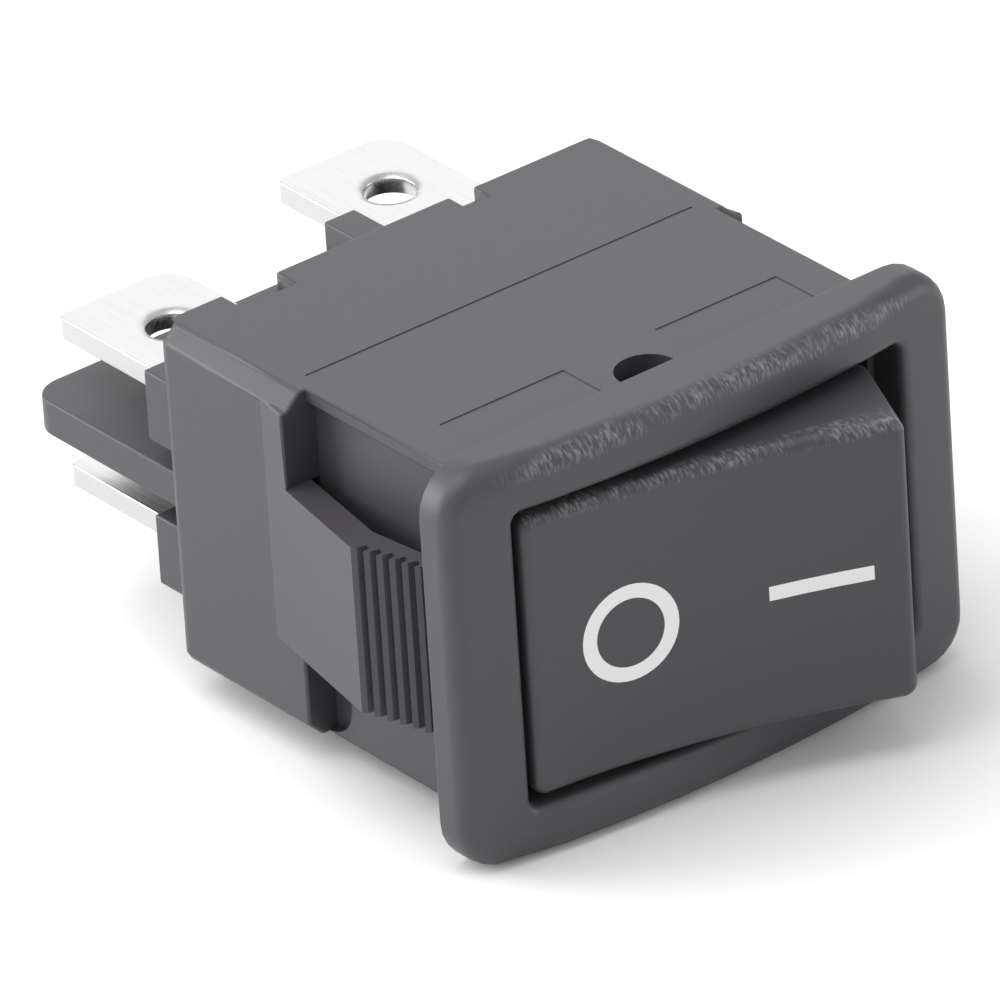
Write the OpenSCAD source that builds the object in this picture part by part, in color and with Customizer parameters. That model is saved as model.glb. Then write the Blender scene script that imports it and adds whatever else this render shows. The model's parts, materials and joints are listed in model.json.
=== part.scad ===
// Snap-in panel rocker switch, two poles, four tab terminals.
// Origin: centre of the bezel's back face, on the panel. -Y faces the user, +Y goes behind the panel.
// +X points to the I end of the rocker, +Z runs along the rocker's pivot. The stored pose is OFF.

/* [Bezel] */
// Length of the bezel along the panel
bezel_length = 21; // [20.6:0.1:21.4]
// Width of the bezel along the pivot
bezel_width = 14.6; // [14.4:0.1:15]
// Depth of the bezel at the middle of its arched front
bezel_depth = 2.45; // [2.3:0.05:2.6]
// How much shallower the bezel is at its two ends
bezel_arch = 1; // [0.8:0.05:1.1]
// Rounding of the bezel's outer front edge
bezel_edge_radius = 0.75; // [0.6:0.05:0.8]
// Rounding of the bezel's outline at its four corners
bezel_corner_radius = 1.7; // [1.5:0.1:2]
// Length of the window that the rocker sits in
window_length = 16.1; // [16:0.05:16.2]
// Height of the window and of the body's cavity
window_height = 10.84; // [10.7:0.02:10.9]

/* [Body] */
// Height of the body behind the panel
body_height = 12.74; // [12.6:0.02:12.9]
// Thickness of the body's end walls in front of the shoulder
front_end_wall = 0.95; // [0.9:0.05:1.05]
// Thickness of the rear block's end walls
rear_end_wall = 1.75; // [1.65:0.05:1.85]
// Depth from the panel to the shoulder of the rear block
shoulder_depth = 8.1; // [7.9:0.1:8.3]
// Depth from the panel to the rear rim of the body
body_depth = 15; // [14.9:0.05:15.2]
// Bevel of the rear block's four long edges
long_edge_bevel = 0.55; // [0.4:0.05:0.6]
// How far the cavity draws in from the window at each end
cavity_step = 0.4; // [0.35:0.05:0.45]
// How far the mouth for the terminal base widens at each end
mouth_step = 0.75; // [0.65:0.05:0.85]
// Thickness of the terminal base's plate
base_plate = 2.6; // [2.4:0.1:2.8]
// Reach of the barrier between the poles, behind the body
barrier_reach = 7.9; // [7.4:0.1:8.2]

/* [Snap arms] */
// Width of a snap arm
arm_width = 6.1; // [5.8:0.1:6.4]
// Number of gripping teeth on each arm
tooth_count = 7; // [5:1:7]
// Spacing of the gripping teeth
tooth_pitch = 0.485; // [0.45:0.005:0.49]
// Depth of the grooves between the teeth
tooth_depth = 0.34; // [0.2:0.02:0.36]
// Distance of an arm's crest from the middle of the switch
crest_reach = 10.5; // [10.3:0.05:10.5]
// Slope of the toothed face, which draws in towards the bezel
tooth_slope = 0.28; // [0.24:0.01:0.29]

/* [Rocker] */
// Room between the rocker and the wall at each side
rocker_side_room = 0.32; // [0.2:0.02:0.4]
// Room between the rocker's widest part and the wall at each end
rocker_end_room = 0.3; // [0.25:0.05:0.4]
// How far each end face of the rocker draws in towards the front
rocker_end_lean = 0.6; // [0.5:0.05:0.7]
// Distance of the rocker's front corners from the pivot
rocker_rise = 5.1; // [5:0.05:5.2]
// Radius of the hollow in the rocker's front face
face_radius = 36; // [32:1:42]
// Tilt of the rocker each way from its middle position
rocker_tilt = 15.4; // [15:0.1:15.5]
// Depth of the pivot behind the panel
pivot_depth = 1.25; // [1.2:0.05:1.3]
// Diameter of the rocker's trunnions
trunnion_diameter = 2.1; // [2:0.05:2.2]

/* [Legends] */
// Outer diameter of the O ring
ring_diameter = 3.5; // [3:0.1:3.8]
// Length of the I bar
bar_length = 3.55; // [3:0.05:3.8]
// Width of both legends' strokes
stroke_width = 0.52; // [0.4:0.02:0.7]
// Distance of the O ring from the middle of the rocker
ring_place = 3; // [2.8:0.1:3.2]
// Distance of the I bar from the middle of the rocker
bar_place = 3.68; // [3.4:0.02:3.8]
// Place of both legends along the pivot
legend_level = -0.18; // [-0.3:0.02:0]

/* [Terminals] */
// Width of a tab terminal
tab_width = 4.75; // [4.6:0.05:4.85]
// Thickness of a tab terminal
tab_thickness = 0.8; // [0.7:0.05:0.8]
// Distance of the tabs' middle plane from the middle of the switch
tab_level = 2.77; // [2.7:0.01:2.85]
// Place of the load tabs along the switch
load_tab_place = -5.5; // [-5.6:0.05:-5.4]
// Place of the common tabs along the switch
common_tab_place = 5.45; // [5.35:0.05:5.55]
// Reach of the load tabs behind the body
load_tab_reach = 7.5; // [7:0.1:8]
// Reach of the common tabs behind the body
common_tab_reach = 9.8; // [9:0.1:10]
// Diameter of the hole in each tab
tab_hole_diameter = 1.8; // [1.6:0.1:1.9]
// Distance from a tab's end to the middle of its hole
tab_hole_setback = 3.13; // [3:0.05:3.3]

/* [Hidden] */
// Cuts reach this far past the faces they open
past = 1;
// Clearance of the pivot, on the radius
pivot_clearance = 0.05;
// Clearance of fitted parts that stay still
fit_clearance = 0.03;

cavity_length = window_length - 2 * cavity_step;
front_body_length = cavity_length + 2 * front_end_wall;
rear_body_length = cavity_length + 2 * rear_end_wall;
rear_mouth_length = cavity_length + 2 * mouth_step;
half_bezel_x = bezel_length / 2;
half_bezel_z = bezel_width / 2;
half_body_z = body_height / 2;
half_front_x = front_body_length / 2;
half_rear_x = rear_body_length / 2;
half_window_x = window_length / 2;
half_window_z = window_height / 2;
half_cavity_x = cavity_length / 2;
window_step_depth = 1.2;
window_throat = half_window_x - 0.25;
base_seat_depth = body_depth - base_plate;
load_tab_end = body_depth + load_tab_reach;
common_tab_end = body_depth + common_tab_reach;

// Shallow features moulded in the wall over the pivot
step_depth = 0.03;
step_half_x = 7;
step_end = 3.2;
pad_half_x = 1.9;
rule_width = 0.12;
rule_setback = 0.6;
notch_depth = 0.5;
wide_notch_low = -6.6;
wide_notch_length = 2.2;
wide_notch_run = 1.05;
narrow_notch_low = 2.87;
narrow_notch_length = 0.98;
narrow_notch_run = 0.85;

// The pocket behind each snap arm
pocket_wall = 0.6;
pocket_floor = half_cavity_x + pocket_wall;
pocket_top = half_body_z - 0.5;
slot_room = 0.3;
slot_depth = shoulder_depth + 0.7;
groove_depth = shoulder_depth - 1.3;
arm_gap = 0.3;
relief_depth = 0.3;
ramp_start = shoulder_depth + 1.4;
crest_depth = arm_gap + tooth_pitch * tooth_count;
arm_thickness = 1.15;

// Reach of the collars round the tabs, behind the body
collar_reach = 1.35;

// The rocker
rocker_height = window_height - 2 * rocker_side_room;
rocker_skirt_length = cavity_length - 2 * rocker_end_room;
rocker_length = rocker_skirt_length - 2 * rocker_end_lean;
half_rocker_z = rocker_height / 2;
rocker_wall = 0.9;
boss_radius = 1.95;
boss_end = 3.6;
trunnion_end = half_window_z + 0.3;
legend_depth = 0.15;

// The contact gear: one see-saw arm a pole, pushed by a sprung plunger in the rocker
boss_inset = 0.2;
contact_offset = 0.45;
see_saw_rise = 2.68;
contact_drop = 0.28;
contact_thickness = 0.8;
contact_lead = 0.03;
tip_setback = 1.67;
pole_level = half_rocker_z - boss_radius - boss_inset;
contact_level = pole_level + contact_offset;
see_saw_depth = base_seat_depth - see_saw_rise;
see_saw_sheet = 0.5;
see_saw_width = 3.4;
see_saw_bend = 0.6;
see_saw_flank = 16;
see_saw_swing = 10;
contact_run = -load_tab_place + contact_lead;
contact_radius = 0.95;
contact_disc = 0.4;
contact_dome_radius = 3;
fixed_contact_face = see_saw_depth + contact_drop;
foot_face = fixed_contact_face + contact_thickness;
cradle_clearance = 0.06;
cradle_edge = see_saw_depth + 0.35;
plunger_radius = 1.2;
plunger_reach = see_saw_depth - pivot_depth - tip_setback;
plunger_back = 2;
plunger_bore_radius = 0.86;
plunger_nose = 1.6;
bore_clearance = 0.06;
bore_end = -2.2;
spring_radius = 0.64;
wire_radius = 0.14;
spring_coils = 6;

// ---- shared shapes ----

// A flat outline drawn in X and Z, pushed from one depth to another
module between_depths(from_y, to_y) {
  translate([0, to_y, 0])
    rotate([90, 0, 0])
      linear_extrude(to_y - from_y) children();
}

// A flat outline drawn in X and Y, given a height centred on a level
module at_level(level, height) {
  translate([0, 0, level - height / 2])
    linear_extrude(height) children();
}

module rounded_outline(half_x, half_z, radius) {
  square([2 * (half_x - radius), 2 * half_z], center = true);
  square([2 * half_x, 2 * (half_z - radius)], center = true);
  for (side_x = [-1, 1], side_z = [-1, 1])
    translate([side_x * (half_x - radius), side_z * (half_z - radius)])
      circle(radius, $fn = 48);
}

module both_ends() {
  children();
  mirror([1, 0, 0]) children();
}

module both_sides() {
  children();
  mirror([0, 0, 1]) children();
}

// ---- housing: bezel, body and snap arms in one moulding ----

// Depth of the arched front at a place along the bezel
function front_at(x) = -bezel_depth + bezel_arch * pow(x / half_bezel_x, 2);

// A round post from the panel up to a depth, its rim rounded like the bezel's edge
module rim_post(radius, front) {
  inset = bezel_edge_radius;
  rotate([90, 0, 0])
    rotate_extrude($fn = 24)
      polygon(concat([[0, 0], [radius, 0]],
                     [for (turn = [0:15:90])
                        [radius - inset + inset * cos(turn), -front - inset + inset * sin(turn)]],
                     [[0, -front]]));
}

module bezel() {
  inset = bezel_edge_radius;
  corner_x = half_bezel_x - bezel_corner_radius;
  stations = 4;
  hull()
    for (side_x = [-1, 1], side_z = [-1, 1]) {
      for (step = [0:stations - 1])
        let (x = side_x * corner_x * step / stations)
          translate([x, 0, side_z * (half_bezel_z - inset)])
            rim_post(inset, front_at(x));
      translate([side_x * corner_x, 0, side_z * (half_bezel_z - bezel_corner_radius)])
        rim_post(bezel_corner_radius, front_at(half_bezel_x - inset));
    }
}

module rear_block_outline() {
  drop = long_edge_bevel;
  polygon([[-half_rear_x + drop, -half_body_z], [half_rear_x - drop, -half_body_z],
           [half_rear_x, -half_body_z + drop], [half_rear_x, half_body_z - drop],
           [half_rear_x - drop, half_body_z], [-half_rear_x + drop, half_body_z],
           [-half_rear_x, half_body_z - drop], [-half_rear_x, -half_body_z + drop]]);
}

module body() {
  between_depths(-0.2, shoulder_depth + 0.2)
    square([front_body_length, body_height], center = true);
  between_depths(shoulder_depth, body_depth) rear_block_outline();
  both_ends() shoulder_ramp();
}

// Distance of the arm's ramp from the middle, at a depth
function ramp_at(depth) =
  half_rear_x + (crest_reach - half_rear_x) * (ramp_start - depth) / (ramp_start - crest_depth);

// From the arm's lower edge upwards the rear block's wall leans out, in line with the arm's ramp
module shoulder_ramp() {
  low = -arm_width / 2;
  high = half_body_z - long_edge_bevel;
  at_level((low + high) / 2, high - low)
    polygon([[half_rear_x - 0.3, shoulder_depth], [ramp_at(shoulder_depth), shoulder_depth],
             [half_rear_x, ramp_start], [half_rear_x - 0.3, ramp_start]]);
}

// The way through: window, throat under the window, cavity, and mouth for the base
module cavity() {
  between_depths(-bezel_depth - past, -0.3)
    rounded_outline(half_window_x, half_window_z, 0.4);
  between_depths(-0.4, window_step_depth)
    square([2 * window_throat, window_height], center = true);
  between_depths(window_step_depth - 0.1, base_seat_depth + 0.1)
    square([cavity_length, window_height], center = true);
  between_depths(base_seat_depth, body_depth + past)
    square([rear_mouth_length, window_height], center = true);
}

// Room behind a snap arm: open above it, a slot below it, and a groove along the shoulder
module arm_pocket() {
  low = -arm_width / 2 - slot_room;
  outward = crest_reach - pocket_floor + past;
  groove_end = -half_body_z + 0.1;
  groove_round = shoulder_depth - groove_depth;
  between_depths(0, shoulder_depth)
    translate([pocket_floor, low])
      square([outward, pocket_top - low]);
  between_depths(shoulder_depth - 0.1, slot_depth)
    translate([pocket_floor, -arm_width / 2])
      square([outward, arm_width]);
  between_depths(-relief_depth, 0.1)
    translate([pocket_floor, low])
      square([outward, arm_width + 2 * slot_room]);
  translate([pocket_floor, 0, 0])
    rotate([0, 90, 0])
      linear_extrude(outward) {
        translate([-low - 0.1, groove_depth])
          square([low - groove_end - groove_round + 0.1, groove_round]);
        translate([-groove_end - groove_round, shoulder_depth])
          intersection() {
            circle(groove_round, $fn = 48);
            translate([0, -groove_round]) square(groove_round);
          }
      }
}

// Side view of a snap arm: root, ramp, then a toothed face that draws in towards the bezel
module snap_arm_profile() {
  function face_at(depth) = crest_reach - tooth_slope * (crest_depth - depth);
  crest_share = 0.3;
  teeth = [for (tooth = [0:tooth_count - 1])
             let (start = arm_gap + tooth_pitch * tooth)
               each [[face_at(start) - tooth_depth, start],
                     [face_at(start) - tooth_depth, start + tooth_pitch * (1 - crest_share) - 0.1],
                     [face_at(start), start + tooth_pitch * (1 - crest_share)],
                     [face_at(start + tooth_pitch), start + tooth_pitch]]];
  tip_inner = face_at(arm_gap) - tooth_depth - 0.3;
  root_end = slot_depth + 0.5;
  polygon(concat([[tip_inner, arm_gap]], teeth,
                 [[half_rear_x, ramp_start], [half_rear_x - 0.1, root_end + 0.4],
                  [half_rear_x - 0.8, root_end],
                  [half_rear_x - 0.8, slot_depth - 0.6],
                  [crest_reach - arm_thickness, crest_depth + 0.3]]));
}

module snap_arm() {
  at_level(0, arm_width) snap_arm_profile();
}

// Shallow moulded features of the wall over the pivot: steps, a rule and the rim's notches
module wall_relief() {
  step_length = step_half_x - pad_half_x;
  translate([0, 0, half_body_z - step_depth]) {
    translate([-step_half_x, 0, 0]) cube([step_length, step_end, past]);
    translate([pad_half_x, 0, 0]) cube([step_length, step_end, past]);
    translate([-half_window_x, shoulder_depth + rule_setback, 0])
      cube([window_length, rule_width, past]);
  }
  translate([0, body_depth, half_body_z - notch_depth]) {
    translate([wide_notch_low, -wide_notch_run, 0])
      cube([wide_notch_length, wide_notch_run + past, past]);
    translate([narrow_notch_low, -narrow_notch_run, 0])
      cube([narrow_notch_length, narrow_notch_run + past, past]);
  }
}

module pivot_hole() {
  translate([0, pivot_depth, half_window_z - past])
    cylinder(h = 3 * past, r = trunnion_diameter / 2 + pivot_clearance, $fn = 48);
}

// Ledge inside each end wall that stops the rocker
module stop_ledge() {
  ledge_inner = half_cavity_x - 1.25;
  ledge_front = pivot_depth + 1.7;
  between_depths(ledge_front, ledge_front + 0.95)
    translate([ledge_inner, -half_window_z - 0.1])
      square([half_cavity_x - ledge_inner + 0.1, window_height + 0.2]);
}

module housing() {
  color("#57555a") {
    difference() {
      union() {
        bezel();
        body();
      }
      cavity();
      both_ends() arm_pocket();
      both_sides() wall_relief();
      both_sides() pivot_hole();
    }
    both_ends() snap_arm();
    both_ends() stop_ledge();
  }
}

// ---- terminal base: closes the rear mouth and parts the two poles ----

module tab_slot(place) {
  between_depths(base_seat_depth - past, body_depth + collar_reach + past)
    translate([place, tab_level])
      square([tab_width + 2 * fit_clearance, tab_thickness + 2 * fit_clearance], center = true);
}

module base() {
  collar_half_x = half_rear_x - 0.4;
  collar_low = tab_level - 1.37;
  collar_high = tab_level + 1.23;
  barrier_end = body_depth + barrier_reach;
  barrier_thickness = 1.3;
  barrier_radius = 1.1;
  rib_reach = 2.25;
  wall_front = pivot_depth + boss_end + 0.35;
  wall_thickness = 1;
  color("#57555a")
    difference() {
      union() {
        between_depths(base_seat_depth, body_depth)
          square([rear_mouth_length - 2 * fit_clearance, window_height - 2 * fit_clearance],
                 center = true);
        both_sides()
          between_depths(body_depth, body_depth + collar_reach)
            translate([-collar_half_x, collar_low])
              square([2 * collar_half_x, collar_high - collar_low]);
        at_level(0, barrier_thickness) {
          translate([-collar_half_x, body_depth])
            square([2 * collar_half_x, barrier_end - barrier_radius - body_depth]);
          translate([-collar_half_x + barrier_radius, body_depth])
            square([2 * (collar_half_x - barrier_radius), barrier_end - body_depth]);
          for (side = [-1, 1])
            translate([side * (collar_half_x - barrier_radius), barrier_end - barrier_radius])
              circle(barrier_radius, $fn = 48);
        }
        between_depths(body_depth, body_depth + rib_reach)
          square([barrier_thickness, body_height - 0.9], center = true);
        at_level(0, wall_thickness)
          translate([-half_cavity_x + 0.2, wall_front])
            square([cavity_length - 0.4, base_seat_depth - wall_front + 0.2]);
      }
      both_sides() tab_slot(load_tab_place);
      both_sides() tab_slot(common_tab_place);
    }
}

// ---- rocker and its inlaid legends ----

// Places a piece drawn about the pivot into the stored OFF pose
module in_rocker() {
  translate([0, pivot_depth, 0])
    rotate([0, 0, -rocker_tilt]) children();
}

// The hollow of the front face, grown by a depth behind it
module face_hollow(depth) {
  sagitta = face_radius - sqrt(pow(face_radius, 2) - pow(rocker_length / 2, 2));
  translate([0, -rocker_rise + sagitta - face_radius, -half_body_z])
    cylinder(h = body_height, r = face_radius + depth, $fn = 180);
}

module ring_outline() {
  translate([-ring_place, legend_level])
    difference() {
      circle(ring_diameter / 2, $fn = 64);
      circle(ring_diameter / 2 - stroke_width, $fn = 64);
    }
}

module bar_outline() {
  translate([bar_place, legend_level])
    square([bar_length, stroke_width], center = true);
}

module legend_solid() {
  intersection() {
    face_hollow(legend_depth);
    between_depths(-rocker_rise - past, 0) children();
  }
}

module rocker_block() {
  edge = 0.5;
  skirt_depth = -0.9;
  hull()
    for (side_x = [-1, 1], side_z = [-1, 1]) {
      translate([side_x * (rocker_length / 2 - edge), -rocker_rise, side_z * (rocker_height / 2 - edge)])
        sphere(edge, $fn = 24);
      translate([side_x * (rocker_skirt_length / 2 - edge), skirt_depth, side_z * (rocker_height / 2 - edge)])
        sphere(edge, $fn = 24);
    }
}

module rocker() {
  skin = 1.1;
  cheek_half_x = 2.4;
  cheek_end = 1.9;
  skirt_half_x = rocker_length / 2 - 1.15;
  color("#4f4c50")
    in_rocker()
      difference() {
        union() {
          difference() {
            rocker_block();
            translate([0, -rocker_rise + skin, 0])
              between_depths(0.6, rocker_rise + past)
                square([2 * skirt_half_x + 0.2, rocker_height - 2 * rocker_wall], center = true);
          }
          both_sides() {
            at_level(half_rocker_z - rocker_wall / 2, rocker_wall)
              polygon([[-skirt_half_x, -0.6], [skirt_half_x, -0.6],
                       [cheek_half_x, cheek_end], [-cheek_half_x, cheek_end]]);
            translate([0, 0, half_rocker_z - rocker_wall])
              cylinder(h = trunnion_end - half_rocker_z + rocker_wall,
                       r = trunnion_diameter / 2, $fn = 48);
            translate([0, 0, pole_level])
              between_depths(-rocker_rise + skin, boss_end)
                circle(boss_radius, $fn = 48);
          }
        }
        face_hollow(0);
        both_sides()
          translate([0, 0, pole_level])
            between_depths(bore_end, boss_end + past)
              circle(plunger_radius + bore_clearance, $fn = 48);
        legend_solid() ring_outline();
        legend_solid() bar_outline();
      }
}

module legend_o() {
  color("#e9e9e9")
    in_rocker()
      difference() {
        legend_solid() ring_outline();
        face_hollow(0);
      }
}

module legend_i() {
  color("#e9e9e9")
    in_rocker()
      difference() {
        legend_solid() bar_outline();
        face_hollow(0);
      }
}

// ---- terminals ----

// Flat tab outline: straight sides, its end rounded at one corner and eased at the other
module tab_outline(place, tab_end) {
  corner = 1.1;
  eased = 0.3;
  low = place - tab_width / 2;
  translate([low, base_seat_depth])
    square([tab_width, tab_end - corner - base_seat_depth]);
  translate([low + eased, tab_end - corner - 0.1])
    square([tab_width - eased - corner, corner + 0.1]);
  translate([low, tab_end - corner - 0.1])
    square([eased + 0.1, corner + 0.1 - eased]);
  translate([low + eased, tab_end - eased])
    circle(eased, $fn = 32);
  translate([low + tab_width - corner, tab_end - corner])
    circle(corner, $fn = 48);
}

// The tab's hole with a coined rim on both faces
module tab_hole(place, tab_end) {
  rim_depth = 0.12;
  rim_radius = 1.29;
  radius = tab_hole_diameter / 2;
  translate([place, tab_end - tab_hole_setback, tab_level]) {
    cylinder(h = tab_thickness + past, r = radius, center = true, $fn = 48);
    both_sides()
      translate([0, 0, tab_thickness / 2 - rim_depth])
        cylinder(h = 2 * rim_depth, r1 = radius, r2 = 2 * rim_radius - radius, $fn = 48);
  }
}

module terminal_common_upper() {
  cradle_end = half_cavity_x - 0.25;
  neck = common_tab_place - tab_width / 2;
  color("#d9d9d6")
    difference() {
      at_level(tab_level, tab_thickness) {
        tab_outline(common_tab_place, common_tab_end);
        translate([-1.8, cradle_edge])
          square([cradle_end + 1.8, base_seat_depth - cradle_edge]);
        translate([neck, base_seat_depth - 0.5])
          square([cradle_end - neck, 1]);
      }
      tab_hole(common_tab_place, common_tab_end);
      translate([0, see_saw_depth, 0])
        cylinder(h = half_body_z, r = see_saw_bend + cradle_clearance, $fn = 48);
    }
}

// The foot folds from the tab's plane across the pole, under the fixed contact
module terminal_load_upper() {
  foot_width = 2 * (half_cavity_x - 0.35 + load_tab_place);
  foot_top = half_window_z - 0.5;
  bend = tab_thickness + 0.2;
  low = tab_level - tab_thickness / 2;
  color("#d9d9d6") {
    difference() {
      at_level(tab_level, tab_thickness) tab_outline(load_tab_place, load_tab_end);
      tab_hole(load_tab_place, load_tab_end);
    }
    translate([load_tab_place, 0, 0])
      rotate([0, 90, 0])
        linear_extrude(foot_width, center = true) {
          translate([-low - tab_thickness, foot_face + bend])
            square([tab_thickness, base_seat_depth - foot_face - bend + 0.1]);
          translate([-foot_top, foot_face])
            square([foot_top - low - bend, tab_thickness]);
          translate([-low - bend, foot_face + bend])
            intersection() {
              difference() {
                circle(bend, $fn = 48);
                circle(bend - tab_thickness, $fn = 48);
              }
              translate([0, -bend]) square(bend);
            }
        }
  }
}

module terminal_common_lower() { mirror([0, 0, 1]) terminal_common_upper(); }
module terminal_load_lower() { mirror([0, 0, 1]) terminal_load_upper(); }

module fixed_contact_upper() {
  color("#c9c5b8")
    translate([0, 0, contact_level])
      between_depths(fixed_contact_face, foot_face)
        translate([load_tab_place, 0]) circle(contact_radius, $fn = 48);
}

module fixed_contact_lower() { mirror([0, 0, 1]) fixed_contact_upper(); }

// ---- see-saw contact arms ----

// Places a piece drawn about the arm's own pivot into the stored OFF pose
module in_see_saw() {
  translate([0, see_saw_depth, 0])
    rotate([0, 0, see_saw_swing]) children();
}

// Everything in front of one leg's front face
module before_leg(lean) {
  rotate(lean)
    translate([-2 * see_saw_bend, -2 * see_saw_bend - see_saw_sheet / 2])
      square([4 * see_saw_bend, 2 * see_saw_bend]);
}

module contact_arm_upper() {
  short_leg = 3.4;
  long_leg = contact_run + contact_radius + 0.07;
  color("#c98f5a")
    in_see_saw()
      at_level(pole_level, see_saw_width) {
        difference() {
          circle(see_saw_bend, $fn = 48);
          intersection() {
            before_leg(-see_saw_flank);
            before_leg(see_saw_flank);
          }
        }
        rotate(-see_saw_flank)
          translate([0, -see_saw_sheet / 2]) square([short_leg, see_saw_sheet]);
        rotate(see_saw_flank)
          translate([-long_leg, -see_saw_sheet / 2]) square([long_leg, see_saw_sheet]);
      }
}

module contact_arm_lower() { mirror([0, 0, 1]) contact_arm_upper(); }

// Domed button on the underside of the long leg
module moving_contact_upper() {
  dome_drop = contact_dome_radius - sqrt(pow(contact_dome_radius, 2) - pow(contact_radius, 2));
  color("#c9c5b8")
    in_see_saw()
      rotate([0, 0, see_saw_flank])
        translate([-contact_run, see_saw_sheet / 2, contact_level])
          rotate([-90, 0, 0])
            intersection() {
              cylinder(h = contact_disc + dome_drop, r = contact_radius, $fn = 48);
              translate([0, 0, contact_disc + dome_drop - contact_dome_radius])
                sphere(contact_dome_radius, $fn = 96);
            }
}

module moving_contact_lower() { mirror([0, 0, 1]) moving_contact_upper(); }

// ---- plungers and their springs ----

module plunger_upper() {
  color("#e4e0d2")
    in_rocker()
      translate([0, 0, pole_level])
        difference() {
          union() {
            between_depths(plunger_back, plunger_reach) circle(plunger_radius, $fn = 48);
            translate([0, plunger_reach, 0]) sphere(plunger_radius, $fn = 48);
          }
          between_depths(plunger_back - past, plunger_reach - plunger_nose)
            circle(plunger_bore_radius, $fn = 48);
        }
}

module plunger_lower() { mirror([0, 0, 1]) plunger_upper(); }

// Coil spring: a round wire swept along a helix, its sections set in a loop
module spring_upper() {
  low = bore_end + wire_radius * 1.1;
  high = plunger_reach - plunger_nose - wire_radius * 1.1;
  steps = 20 * spring_coils;
  sides = 8;
  wire = [for (step = [0:steps], side = [0:sides - 1])
            let (turn = 360 * spring_coils * step / steps,
                 around = 360 * side / sides,
                 reach = spring_radius + wire_radius * cos(around))
              [reach * cos(turn), reach * sin(turn),
               (high - low) * step / steps + wire_radius * sin(around)]];
  skin = [for (step = [0:steps - 1], side = [0:sides - 1])
            let (here = step * sides, next = (side + 1) % sides)
              [here + side, here + sides + side, here + sides + next, here + next]];
  ends = [[for (side = [0:sides - 1]) side],
          [for (side = [sides - 1:-1:0]) steps * sides + side]];
  color("#b9bbbd")
    in_rocker()
      translate([0, low, pole_level])
        rotate([-90, 0, 0])
          polyhedron(points = wire, faces = concat(skin, ends), convexity = 10);
}

module spring_lower() { mirror([0, 0, 1]) spring_upper(); }

housing();
base();
rocker();
legend_o();
legend_i();
terminal_common_upper();
terminal_common_lower();
terminal_load_upper();
terminal_load_lower();
fixed_contact_upper();
fixed_contact_lower();
contact_arm_upper();
contact_arm_lower();
moving_contact_upper();
moving_contact_lower();
plunger_upper();
plunger_lower();
spring_upper();
spring_lower();
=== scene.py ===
import json
import math

import bmesh
import bpy
from mathutils import Matrix, Vector

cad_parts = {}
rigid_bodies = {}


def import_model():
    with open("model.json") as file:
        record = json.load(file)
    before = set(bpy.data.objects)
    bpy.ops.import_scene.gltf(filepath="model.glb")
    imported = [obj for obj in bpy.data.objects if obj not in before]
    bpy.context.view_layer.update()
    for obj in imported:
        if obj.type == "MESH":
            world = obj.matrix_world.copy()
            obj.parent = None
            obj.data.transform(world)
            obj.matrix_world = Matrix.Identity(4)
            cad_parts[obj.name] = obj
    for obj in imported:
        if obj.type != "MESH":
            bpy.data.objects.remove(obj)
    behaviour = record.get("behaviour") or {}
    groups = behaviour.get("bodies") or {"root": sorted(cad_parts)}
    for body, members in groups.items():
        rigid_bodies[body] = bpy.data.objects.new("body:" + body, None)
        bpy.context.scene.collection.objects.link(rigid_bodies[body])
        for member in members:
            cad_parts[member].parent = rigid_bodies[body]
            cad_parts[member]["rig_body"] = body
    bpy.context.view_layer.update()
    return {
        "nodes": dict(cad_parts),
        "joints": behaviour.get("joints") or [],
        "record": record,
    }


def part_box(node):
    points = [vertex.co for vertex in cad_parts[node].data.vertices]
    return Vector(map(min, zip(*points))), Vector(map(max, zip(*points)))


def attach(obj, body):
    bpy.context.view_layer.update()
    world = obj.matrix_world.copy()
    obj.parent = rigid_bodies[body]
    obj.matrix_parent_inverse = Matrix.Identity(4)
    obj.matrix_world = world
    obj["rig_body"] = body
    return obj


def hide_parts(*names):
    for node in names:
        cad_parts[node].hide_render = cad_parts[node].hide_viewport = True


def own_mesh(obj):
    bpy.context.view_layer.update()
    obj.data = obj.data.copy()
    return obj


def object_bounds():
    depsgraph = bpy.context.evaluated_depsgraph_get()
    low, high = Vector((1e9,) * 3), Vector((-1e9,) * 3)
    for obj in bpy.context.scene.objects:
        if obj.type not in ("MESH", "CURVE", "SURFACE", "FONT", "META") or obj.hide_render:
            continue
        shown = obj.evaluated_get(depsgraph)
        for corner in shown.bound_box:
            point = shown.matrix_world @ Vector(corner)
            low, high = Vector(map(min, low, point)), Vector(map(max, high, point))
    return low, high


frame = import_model()


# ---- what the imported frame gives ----

MM = 0.001
JOINTS = {joint["name"]: joint for joint in frame["joints"]}
SLOTS = {part["node"]: part["material_slot"] for part in frame["record"]["subparts"]}

# The rocker rests at one end of its travel, turned about its pivot by half of it
ROCKER_TILT = math.radians(JOINTS["rocker_tilt"]["range_deg"][1] / 2)
PIVOT = Vector(JOINTS["rocker_tilt"]["pos_m"]) / MM


def in_mm(point):
    """A mesh point in millimetres."""
    return point / MM


def from_pivot(point):
    """A mesh point in the rocker's own frame, in millimetres: X along it, Y behind its pivot."""
    return Matrix.Rotation(ROCKER_TILT, 3, "Z") @ (point / MM - PIVOT)


# ---- materials ----

# The colour sockets of a Mix node, which share their names with its number sockets
MIX_FIRST, MIX_SECOND, MIX_RESULT = 6, 7, 2

# Widths in millimetres. The real grain of a spark-eroded mould is about a quarter of this width,
# and is drawn coarser so that it shows.
GRAIN_WIDTH = 0.12
GRAIN_HEIGHT = 0.01
ROLLING_WIDTH = 0.2
ROLLING_HEIGHT = 0.006
# How far the rolling marks are drawn out along the strip, and how much they vary its roughness
ROLLING_SQUEEZE = (1.0, 0.06, 1.0)
ROLLING_SPREAD = 0.05
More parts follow.
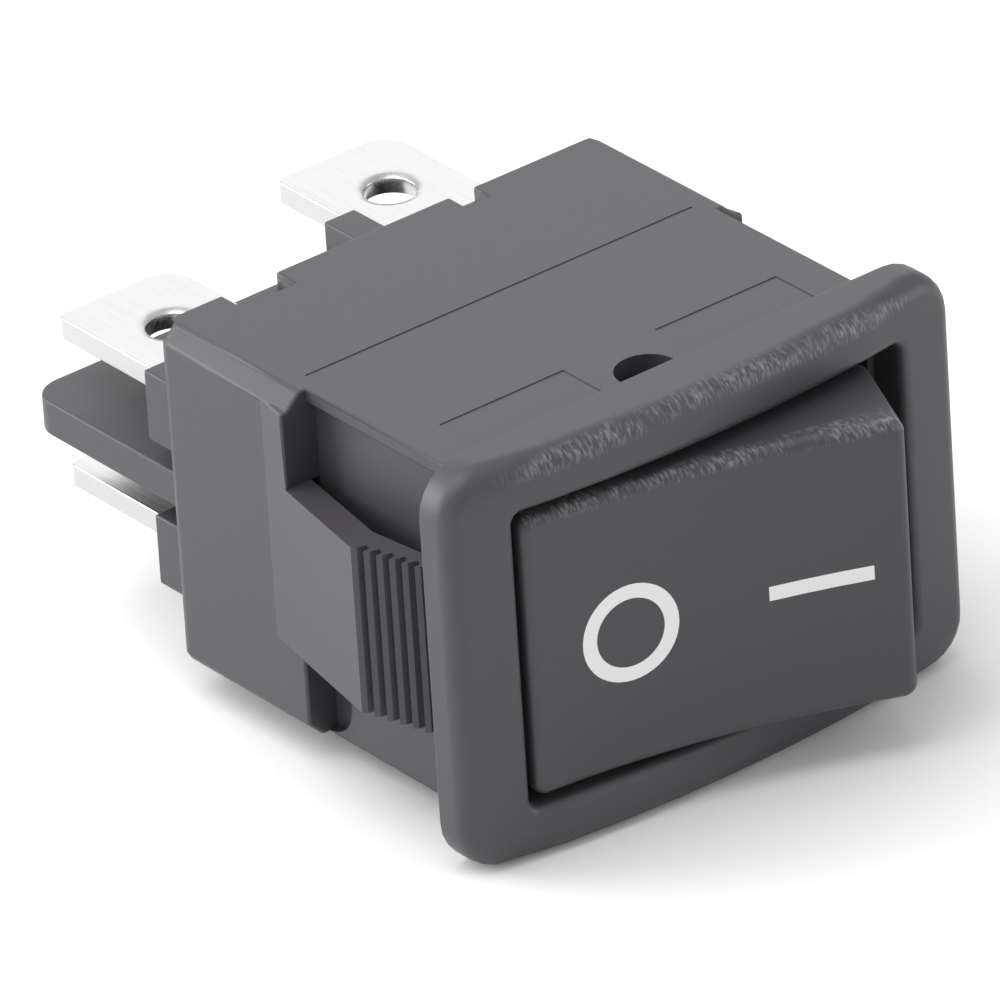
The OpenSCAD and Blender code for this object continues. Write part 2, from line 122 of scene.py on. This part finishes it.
# The values that a noise mostly stays between
NOISE_SPAN = (0.3, 0.7)

# Edges marked pale along their length: partly real scuffs from handling and partly a painted highlight
# along the edge's rounding. Each is a line along X in a frame turned about Z, and its marks
# reach half_depth and half_height from it, in millimetres.
BEZEL_TOP_EDGE = {
    "turn": 0.0, "depth": -2.05, "level": 6.95, "half_depth": 0.5, "half_height": 0.5,
}
ROCKER_TOP_EDGE = {
    "turn": ROCKER_TILT, "depth": -3.3, "level": 5.0, "half_depth": 0.75, "half_height": 0.34,
}
# The pale grey of the marked edges: real scuffs, and a painted highlight along the edge's rounding
SCUFF_AND_HIGHLIGHT_COLOUR = "#939195"
# The marks are short strokes across the edge, gathered in patches. A noise of the given size
# starts to show at one value and shows fully at the next.
SCUFF_AND_HIGHLIGHT_STROKES = {
    "size": 0.1, "squeeze": (1.0, 0.3, 0.3), "detail": 3.0, "roughness": 0.6, "shows": (0.45, 0.75),
}
SCUFF_AND_HIGHLIGHT_PATCHES = {
    "size": 1.1, "squeeze": (1.0, 1.0, 1.0), "detail": 2.0, "roughness": 0.5, "shows": (0.3, 0.5),
}


def linear(hex_colour):
    """sRGB hex to a linear RGBA tuple."""
    channels = [int(hex_colour[i:i + 2], 16) / 255 for i in (1, 3, 5)]
    return tuple(c / 12.92 if c <= 0.04045 else ((c + 0.055) / 1.055) ** 2.4 for c in channels) + (1.0,)


def add_node(tree, kind, settings=None, inputs=None, links=None):
    """One node with its settings, its constant inputs and its incoming links."""
    made = tree.nodes.new(kind)
    for name, value in (settings or {}).items():
        setattr(made, name, value)
    for name, value in (inputs or {}).items():
        made.inputs[name].default_value = value
    for name, source in (links or {}).items():
        tree.links.new(source, made.inputs[name])
    return made


def blank_material(name):
    """A new material and its empty node tree."""
    material = bpy.data.materials.new(name)
    material.use_nodes = True
    material.node_tree.nodes.clear()
    return material, material.node_tree


def scuff_and_highlight_marks(tree, place, turn, depth, level, half_depth, half_height):
    """How pale each point is made, from 0 to 1: patchy strokes in a band round one long edge, partly real
    scuffs and partly a painted highlight.
    """
    turned = add_node(tree, "ShaderNodeMapping",
                      inputs={"Location": (0.0, -depth * MM, -level * MM),
                              "Rotation": (0.0, 0.0, turn)},
                      links={"Vector": place})
    parts = add_node(tree, "ShaderNodeSeparateXYZ", links={"Vector": turned.outputs["Vector"]})
    squares = [add_node(tree, "ShaderNodeMath", settings={"operation": "POWER"}, inputs={1: 2.0},
                        links={0: parts.outputs[axis]}) for axis in ("Y", "Z")]
    away = add_node(tree, "ShaderNodeMath", settings={"operation": "MULTIPLY_ADD"},
                    inputs={1: (half_height / half_depth) ** 2},
                    links={0: squares[0].outputs[0], 2: squares[1].outputs[0]})
    band = add_node(tree, "ShaderNodeMapRange",
                    inputs={"From Min": 0.0, "From Max": (half_height * MM) ** 2,
                            "To Min": 1.0, "To Max": 0.0},
                    links={"Value": away.outputs[0]})
    amount = band.outputs["Result"]
    for marks in (SCUFF_AND_HIGHLIGHT_STROKES, SCUFF_AND_HIGHLIGHT_PATCHES):
        stretched = add_node(tree, "ShaderNodeMapping", inputs={"Scale": marks["squeeze"]},
                             links={"Vector": place})
        noise = add_node(tree, "ShaderNodeTexNoise",
                         inputs={"Scale": 1 / (marks["size"] * MM), "Detail": marks["detail"],
                                 "Roughness": marks["roughness"]},
                         links={"Vector": stretched.outputs["Vector"]})
        start, full = marks["shows"]
        shown = add_node(tree, "ShaderNodeMapRange", inputs={"From Min": start, "From Max": full},
                         links={"Value": noise.outputs["Fac"]})
        amount = add_node(tree, "ShaderNodeMath", settings={"operation": "MULTIPLY"},
                          links={0: amount, 1: shown.outputs["Result"]}).outputs[0]
    return amount


def moulded_plastic(name, colour, roughness, grain_depth, scuff_and_highlight=None):
    """Plastic from a spark-eroded mould: a soft gloss, broken by a fine even grain."""
    material, tree = blank_material(name)
    place = add_node(tree, "ShaderNodeTexCoord").outputs["Object"]
    grain = add_node(tree, "ShaderNodeTexNoise",
                     inputs={"Scale": 1 / (GRAIN_WIDTH * MM), "Detail": 2.0, "Roughness": 0.6},
                     links={"Vector": place})
    bump = add_node(tree, "ShaderNodeBump",
                    inputs={"Strength": grain_depth, "Distance": GRAIN_HEIGHT * MM},
                    links={"Height": grain.outputs["Fac"]})
    shader = add_node(tree, "ShaderNodeBsdfPrincipled",
                      inputs={"Base Color": linear(colour), "Roughness": roughness, "IOR": 1.53},
                      links={"Normal": bump.outputs["Normal"]})
    # Pale marks on one edge mixed into the colour: partly real scuffs and partly a painted highlight along
    # its rounding
    if scuff_and_highlight:
        scuff_and_highlight_mix = add_node(tree, "ShaderNodeMix", settings={"data_type": "RGBA"},
                        inputs={MIX_FIRST: linear(colour), MIX_SECOND: linear(SCUFF_AND_HIGHLIGHT_COLOUR)},
                        links={"Factor": scuff_and_highlight_marks(tree, place, **scuff_and_highlight)})
        tree.links.new(scuff_and_highlight_mix.outputs[MIX_RESULT], shader.inputs["Base Color"])
    add_node(tree, "ShaderNodeOutputMaterial", links={"Surface": shader.outputs["BSDF"]})
    return material


def rolled_metal(name, colour, roughness):
    """Metal strip or wire: faint marks along Y, left by its rolls, break up its gloss."""
    material, tree = blank_material(name)
    place = add_node(tree, "ShaderNodeTexCoord").outputs["Object"]
    along = add_node(tree, "ShaderNodeMapping", inputs={"Scale": ROLLING_SQUEEZE},
                     links={"Vector": place})
    marks = add_node(tree, "ShaderNodeTexNoise",
                     inputs={"Scale": 1 / (ROLLING_WIDTH * MM), "Detail": 3.0, "Roughness": 0.6},
                     links={"Vector": along.outputs["Vector"]})
    gloss = add_node(tree, "ShaderNodeMapRange",
                     inputs={"From Min": NOISE_SPAN[0], "From Max": NOISE_SPAN[1],
                             "To Min": roughness - ROLLING_SPREAD,
                             "To Max": roughness + ROLLING_SPREAD},
                     links={"Value": marks.outputs["Fac"]})
    bump = add_node(tree, "ShaderNodeBump",
                    inputs={"Strength": 0.08, "Distance": ROLLING_HEIGHT * MM},
                    links={"Height": marks.outputs["Fac"]})
    shader = add_node(tree, "ShaderNodeBsdfPrincipled",
                      inputs={"Base Color": linear(colour), "Metallic": 1.0},
                      links={"Roughness": gloss.outputs["Result"], "Normal": bump.outputs["Normal"]})
    add_node(tree, "ShaderNodeOutputMaterial", links={"Surface": shader.outputs["BSDF"]})
    return material


# By the record's slots
MATERIALS = {
    # Black polyamide, moulded: charcoal with a soft sheen, scuffed grey on its top edge, where the pale
    # grey is also a painted highlight along the edge's rounding
    "black_nylon": moulded_plastic("black nylon, moulded", "#464448", 0.46, 0.25, BEZEL_TOP_EDGE),
    # The same polyamide, a little darker and smoother where fingers press it, with pale scuffs and a
    # painted highlight along its top edge
    "rocker_nylon": moulded_plastic("black nylon, rocker", "#413f43", 0.45, 0.25, ROCKER_TOP_EDGE),
    # White polyamide, moulded into the rocker: clean matt white lines
    "white_inlay": moulded_plastic("white nylon, inlaid", "#fafafa", 0.5, 0.15),
    # Brass strip, tinned: near-white and bright, with the strip's own faint streaks
    "tinned_brass": rolled_metal("tinned brass", "#cdcdce", 0.28),
    # Silver alloy, headed: slightly warm and satin
    "silver_alloy": rolled_metal("silver contact alloy", "#c9c5b8", 0.35),
    # Copper alloy strip, stamped: warm orange brown and satin
    "copper_alloy": rolled_metal("copper alloy strip", "#c98f5a", 0.35),
    # Undyed acetal, moulded: waxy off-white
    "natural_acetal": moulded_plastic("natural acetal", "#e4e0d2", 0.45, 0.15),
    # Steel wire, drawn: plain grey and bright
    "spring_wire": rolled_metal("drawn spring wire", "#b9bbbd", 0.3),
}


# ---- finished pieces made from the solids ----

# A zone is a range of mirrored X, of Y and of Z, in millimetres
FAR = 99.0
WHOLE = (-FAR, FAR)

# How a solid's edges are rounded. Each of "rounds" gives a radius and its zone, and "plain" the
# radius elsewhere. Edges in a "sharp" zone are too fine to be rounded, the strips of a curve in a
# "merged" zone become one face, gentle bends in a "creased" zone stay visible, and points in a
# "flush" zone are brought to the plane Y = 0. The places are "measured" in the solid's own frame.
TERMINAL_FINISH = {"measured": in_mm, "plain": 0.05}
BASE_FINISH = {"measured": in_mm, "plain": 0.1}
ROCKER_FINISH = {
    "measured": from_pivot,
    "plain": 0.13,
    # the outline of the front face
    "rounds": (
        (0.38, ((6.0, FAR), (-FAR, -4.2), WHOLE)),
        (0.38, (WHOLE, (-FAR, -4.2), (4.5, FAR))),
        (0.38, (WHOLE, (-FAR, -4.2), (-FAR, -4.5))),
    ),
    # the legends' recesses
    "sharp": (((-FAR, 6.0), (-FAR, -4.0), (-4.5, 4.5)),),
    # the ends of the hollow front face
    "merged": (((5.9, FAR), (-FAR, -4.6), WHOLE),),
}
HOUSING_FINISH = {
    "measured": in_mm,
    "plain": 0.12,
    "rounds": (
        # the rear corners
        (0.6, ((8.7, FAR), (14.95, FAR), WHOLE)),
        # the foot of the shoulder
        (0.08, ((-FAR, 8.7), (8.0, 8.2), WHOLE)),
        # the rim round the window
        (0.35, ((-FAR, 8.2), (-FAR, -1.3), (-5.6, 5.6))),
    ),
    "sharp": (
        # the snap arms' teeth
        ((8.3, FAR), (0.2, 4.2), (-3.4, 3.4)),
        # the shallow steps of the upper face and of the lower one
        ((-FAR, 8.2), (-0.1, 9.0), (6.2, FAR)),
        ((-FAR, 8.2), (-0.1, 9.0), (-FAR, -6.2)),
        # the inside
        ((-FAR, 8.5), (-0.5, FAR), (-5.5, 5.5)),
        # the thin tips of the pockets round the arms
        ((8.3, 8.7), (6.5, 8.3), (-6.3, -3.4)),
    ),
    # the snap arms' ramps and the shoulder beside them
    "creased": (((9.3, FAR), (3.6, 9.6), WHOLE),),
    # the arms' reliefs in the bezel's back
    "flush": (((8.2, FAR), (-0.31, -0.29), (-3.5, 3.5)),),
}

# Turns between faces, in degrees: an edge turns by more than EDGE_TURN and a crease by more than
# CREASE_TURN, and a curve's strips turn by less than STRIP_TURN and a flat face's parts by less
# than FLAT_TURN
EDGE_TURN = 30.0
CREASE_TURN = 5.0
STRIP_TURN = 6.0
FLAT_TURN = 0.5
# In millimetres and square millimetres
WIDEST_ROUND = 0.6
MERGE_DISTANCE = 0.0005
SIZEABLE_FACE = 0.5
# The least share of its normal that a face square to an axis has along it
SQUARE = 0.99999

# The rocker's hollow front is part of a cylinder that passes through the face's two ends
HOLLOW_RADIUS = 36.0
FACE_HALF_LENGTH = 6.75
FACE_END_RISE = 5.1
HOLLOW_CENTRE = -FACE_END_RISE - math.sqrt(HOLLOW_RADIUS ** 2 - FACE_HALF_LENGTH ** 2)
HOLLOW_TOLERANCE = 0.02


def in_any(place, zones):
    """Whether a place lies in one of some zones."""
    mirrored = (abs(place.x), place.y, place.z)
    return any(all(low < value < high for value, (low, high) in zip(mirrored, zone)) for zone in zones)


def radius_at(place, finish):
    """The radius of an edge's rounding at a place."""
    special = (radius for radius, zone in finish.get("rounds", ()) if in_any(place, (zone,)))
    return next(special, finish["plain"])


def simplify(work, finish):
    """Joins a solid's loose triangles into whole faces."""
    for vertex in work.verts:
        if in_any(in_mm(vertex.co), finish.get("flush", ())):
            vertex.co.y = 0.0
    bmesh.ops.remove_doubles(work, verts=work.verts, dist=MERGE_DISTANCE * MM)
    bmesh.ops.dissolve_limit(work, angle_limit=math.radians(FLAT_TURN), verts=work.verts, edges=work.edges)
    strips = [edge for edge in work.edges
              if edge.is_manifold and edge.calc_face_angle(0) < math.radians(STRIP_TURN)
              and all(in_any(finish["measured"](vertex.co), finish.get("merged", ()))
                      for vertex in edge.verts)]
    if strips:
        bmesh.ops.dissolve_edges(work, edges=strips, use_verts=True)


def mark_edges(work, finish):
    """Sets how wide each edge is rounded, as a share of the widest, and which edges stay crisp."""
    for face in work.faces:
        face.smooth = True
    shares = work.edges.layers.float.new("bevel_weight_edge")
    for edge in work.edges:
        if not edge.is_manifold:
            continue
        ends = [finish["measured"](vertex.co) for vertex in edge.verts]
        turn = math.degrees(edge.calc_face_angle(0))
        too_fine = any(in_any(end, finish.get("sharp", ())) for end in ends)
        creased = all(in_any(end, finish.get("creased", ())) for end in ends)
        if turn > EDGE_TURN and edge.is_convex and not too_fine:
            edge[shares] = min(radius_at(end, finish) for end in ends) / WIDEST_ROUND
        elif turn > EDGE_TURN or (creased and turn > CREASE_TURN):
            edge.smooth = False


def baked(maker):
    """The mesh that an object's modifiers make."""
    bpy.context.view_layer.update()
    return bpy.data.meshes.new_from_object(maker.evaluated_get(bpy.context.evaluated_depsgraph_get()))


def linked_object(name, mesh):
    """A new object in the scene."""
    made = bpy.data.objects.new(name, mesh)
    bpy.context.scene.collection.objects.link(made)
    return made


def stand_for(piece, node):
    """Makes a finished piece move with a CAD node's body and take its place, hiding the node."""
    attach(piece, frame["nodes"][node]["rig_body"])
    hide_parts(node)


def even_shading(piece, normal_at):
    """Replaces the normals of a piece's corners where a rule knows the true ones."""
    mesh = piece.data
    normals = [Vector(corner.vector) for corner in mesh.corner_normals]
    for polygon in mesh.polygons:
        for corner in polygon.loop_indices:
            normals[corner] = normal_at(mesh, polygon, corner) or normals[corner]
    mesh.normals_split_custom_set(normals)


def plane_normal(mesh, polygon, corner):
    """The face's own normal, on every sizeable flat face square to an axis."""
    is_square = max(abs(part) for part in polygon.normal) > SQUARE
    return polygon.normal.copy() if is_square and polygon.area > SIZEABLE_FACE * MM * MM else None


def hollow_normal(mesh, polygon, corner):
    """The true cylinder's normal, on the faces of the rocker's hollow front."""
    for index in polygon.vertices:
        place = from_pivot(mesh.vertices[index].co)
        if abs(math.hypot(place.x, place.y - HOLLOW_CENTRE) - HOLLOW_RADIUS) > HOLLOW_TOLERANCE:
            return None
    place = from_pivot(mesh.vertices[mesh.loops[corner].vertex_index].co)
    inward = Vector((-place.x, HOLLOW_CENTRE - place.y, 0)).normalized()
    return Matrix.Rotation(-ROCKER_TILT, 3, "Z") @ inward


def softened(node, finish):
    """A copy of a solid with its moulded edges rounded, each by the radius of its place."""
    mesh = frame["nodes"][node].data.copy()
    mesh.materials.clear()
    work = bmesh.new()
    work.from_mesh(mesh)
    simplify(work, finish)
    mark_edges(work, finish)
    work.to_mesh(mesh)
    work.free()
    mesh.materials.append(MATERIALS[SLOTS[node]])
    piece = linked_object(node + "_finished", mesh)
    bevel = piece.modifiers.new("moulded edge", "BEVEL")
    bevel.width = WIDEST_ROUND * MM
    bevel.segments = 3
    bevel.limit_method = "WEIGHT"
    bevel.use_clamp_overlap = False
    bevel.loop_slide = False
    even = piece.modifiers.new("flat faces stay flat", "WEIGHTED_NORMAL")
    even.weight = 100
    even.keep_sharp = True
    piece.data = baked(piece)
    piece.modifiers.clear()
    even_shading(piece, plane_normal)
    stand_for(piece, node)
    return piece


FINISHES = {node: TERMINAL_FINISH for node in frame["nodes"] if node.startswith("terminal_")}
FINISHES.update(base=BASE_FINISH, rocker=ROCKER_FINISH, housing=HOUSING_FINISH)
pieces = {node: softened(node, finish) for node, finish in FINISHES.items()}
even_shading(pieces["rocker"], hollow_normal)


# ---- springs ----

# In millimetres behind the pivot: the rocker's bore ends at BORE_END, and the plunger's at its
# reach less its solid nose. WIRE_ROOM is room for half the wire's thickness at each end.
BORE_END = -2.2
PLUNGER_REACH = 6.8
PLUNGER_NOSE = 1.6
WIRE_ROOM = 0.17
SPRING_START = (BORE_END + WIRE_ROOM) * MM
SPRING_END = (PLUNGER_REACH - PLUNGER_NOSE - WIRE_ROOM) * MM


def coil_tree():
    """A round wire wound in even coils along Z, from named sizes."""
    tree = bpy.data.node_groups.new("coil spring", "GeometryNodeTree")
    sizes = {"Coils": 6.0, "Coil Radius": 0.64 * MM, "Wire Radius": 0.14 * MM, "Length": 6.0 * MM}
    for name, value in sizes.items():
        socket = tree.interface.new_socket(name, in_out="INPUT", socket_type="NodeSocketFloat")
        socket.default_value = value
    tree.interface.new_socket("Wire", in_out="INPUT", socket_type="NodeSocketMaterial")
    tree.interface.new_socket("Geometry", in_out="OUTPUT", socket_type="NodeSocketGeometry")
    given = add_node(tree, "NodeGroupInput").outputs
    spiral = add_node(tree, "GeometryNodeCurveSpiral", inputs={"Resolution": 28},
                      links={"Rotations": given["Coils"], "Start Radius": given["Coil Radius"],
                             "End Radius": given["Coil Radius"], "Height": given["Length"]})
    section = add_node(tree, "GeometryNodeCurvePrimitiveCircle", inputs={"Resolution": 10},
                       links={"Radius": given["Wire Radius"]})
    wire = add_node(tree, "GeometryNodeCurveToMesh", inputs={"Fill Caps": True},
                    links={"Curve": spiral.outputs["Curve"], "Profile Curve": section.outputs["Curve"]})
    smooth = add_node(tree, "GeometryNodeSetShadeSmooth", links={"Geometry": wire.outputs["Mesh"]})
    whole = add_node(tree, "GeometryNodeRealizeInstances",
                     links={"Geometry": smooth.outputs["Geometry"]})
    dressed = add_node(tree, "GeometryNodeSetMaterial",
                       links={"Geometry": whole.outputs["Geometry"], "Material": given["Wire"]})
    add_node(tree, "NodeGroupOutput", links={"Geometry": dressed.outputs["Geometry"]})
    return tree


def wound_mesh(tree, node):
    """One spring's mesh, wound along Z from the origin."""
    maker = linked_object("winding", bpy.data.meshes.new("winding"))
    winding = maker.modifiers.new("winding", "NODES")
    winding.node_group = tree
    chosen = {"Length": SPRING_END - SPRING_START, "Wire": MATERIALS[SLOTS[node]]}
    for socket in tree.interface.items_tree:
        if socket.in_out == "INPUT" and socket.name in chosen:
            winding[socket.identifier] = chosen[socket.name]
    mesh = baked(maker)
    bpy.data.objects.remove(maker)
    return mesh


def coil_spring(tree, node):
    """One plunger's spring in its bore."""
    low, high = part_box(node)
    foot = Vector((0, PIVOT.y * MM, (low.z + high.z) / 2))
    mesh = wound_mesh(tree, node)
    lie_down = Matrix.Rotation(-math.pi / 2, 4, "X")
    tilt = Matrix.Rotation(-ROCKER_TILT, 4, "Z")
    mesh.transform(Matrix.Translation(foot) @ tilt @ Matrix.Translation((0, SPRING_START, 0)) @ lie_down)
    piece = linked_object(node + "_finished", mesh)
    stand_for(piece, node)
    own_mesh(piece)
    return piece


winding_rule = coil_tree()
for pole in ("upper", "lower"):
    spring = "spring_" + pole
    pieces[spring] = coil_spring(winding_rule, spring)

# The other solids have their true shapes already, and only take their finish
for node, solid in frame["nodes"].items():
    if node not in pieces:
        solid.data.materials.clear()
        solid.data.materials.append(MATERIALS[SLOTS[node]])


# ---- floor, light and camera ----

FLOOR_SIZE = 3.0
FLOOR_DROP = 0.02 * MM
# The sky is white to the camera, and this bright as a light
SKY_LIGHT = 0.62
# Each soft box: where it stands, in metres, its width in metres and its power in watts
SOFT_BOXES = {
    "overhead": ((-0.12, 0.06, 0.38), 0.35, 0.95),
    "behind": ((0.27, 0.37, 0.24), 0.35, 0.36),
    "behind left": ((-0.28, 0.32, 0.12), 0.25, 1.3),
    "front right": ((0.34, -0.22, 0.10), 0.15, 0.3),
}
LIT_POINT = Vector((0, 0.01, 0))

VIEW_AZIMUTH = math.radians(37.821)
VIEW_ELEVATION = math.radians(29.461)
VIEW_ROLL = math.radians(3.411)
VIEW_DISTANCE = 507.66 * MM
# The point that the camera faces, across and above the origin as it sees them
VIEW_ACROSS = -5.871 * MM
VIEW_ABOVE = 1.830 * MM
LENS = 567.5
SENSOR_WIDTH = 36


def make_floor():
    """A white floor just under the lowest point, which throws less light back than it shows."""
    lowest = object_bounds()[0].z
    bpy.ops.mesh.primitive_plane_add(size=FLOOR_SIZE, location=(0, 0, lowest - FLOOR_DROP))
    floor = bpy.context.object
    floor.name = "floor"
    material, tree = blank_material("pale floor")
    rays = add_node(tree, "ShaderNodeLightPath")
    seen = add_node(tree, "ShaderNodeMix", settings={"data_type": "RGBA"},
                    inputs={MIX_FIRST: linear("#ffffff"), MIX_SECOND: linear("#d0d0d0")},
                    links={"Factor": rays.outputs["Is Diffuse Ray"]})
    matt = add_node(tree, "ShaderNodeBsdfDiffuse", links={"Color": seen.outputs[MIX_RESULT]})
    add_node(tree, "ShaderNodeOutputMaterial", links={"Surface": matt.outputs["BSDF"]})
    floor.data.materials.append(material)


def make_sky():
    """An even white surrounding."""
    world = bpy.data.worlds.new("studio")
    bpy.context.scene.world = world
    world.use_nodes = True
    world.node_tree.nodes.clear()
    rays = add_node(world.node_tree, "ShaderNodeLightPath")
    level = add_node(world.node_tree, "ShaderNodeMapRange",
                     inputs={"To Min": SKY_LIGHT, "To Max": 1.0},
                     links={"Value": rays.outputs["Is Camera Ray"]})
    sky = add_node(world.node_tree, "ShaderNodeBackground", inputs={"Color": (1, 1, 1, 1)},
                   links={"Strength": level.outputs["Result"]})
    add_node(world.node_tree, "ShaderNodeOutputWorld", links={"Surface": sky.outputs["Background"]})


def soft_box(name, place, width, power):
    """A square studio light, turned towards the object."""
    lamp = bpy.data.lights.new(name, "AREA")
    lamp.size = width
    lamp.energy = power
    holder = linked_object(name, lamp)
    holder.location = place
    holder.rotation_mode = "QUATERNION"
    holder.rotation_quaternion = (LIT_POINT - Vector(place)).to_track_quat("-Z", "Y")


def make_camera():
    """A long lens that looks down at the switch's front and one end."""
    ahead = Vector((math.sin(VIEW_AZIMUTH) * math.cos(VIEW_ELEVATION),
                    math.cos(VIEW_AZIMUTH) * math.cos(VIEW_ELEVATION), -math.sin(VIEW_ELEVATION)))
    right = Vector((math.cos(VIEW_AZIMUTH), -math.sin(VIEW_AZIMUTH), 0))
    above = right.cross(ahead)
    across = right * math.cos(VIEW_ROLL) - above * math.sin(VIEW_ROLL)
    upward = right * math.sin(VIEW_ROLL) + above * math.cos(VIEW_ROLL)
    stand = -VIEW_DISTANCE * ahead
    back = (stand - across * VIEW_ACROSS - upward * VIEW_ABOVE).normalized()
    side = (across - back * across.dot(back)).normalized()
    turn = Matrix((side, back.cross(side), back)).transposed().to_4x4()
    lens = bpy.data.cameras.new("camera")
    lens.lens = LENS
    lens.sensor_width = SENSOR_WIDTH
    lens.clip_start = 0.01
    lens.clip_end = 20
    camera = linked_object("camera", lens)
    camera.matrix_world = Matrix.Translation(stand) @ turn
    bpy.context.scene.camera = camera


make_floor()
make_sky()
for name, (place, width, power) in SOFT_BOXES.items():
    soft_box(name, place, width, power)
make_camera()
bpy.context.scene.view_settings.view_transform = "Standard"
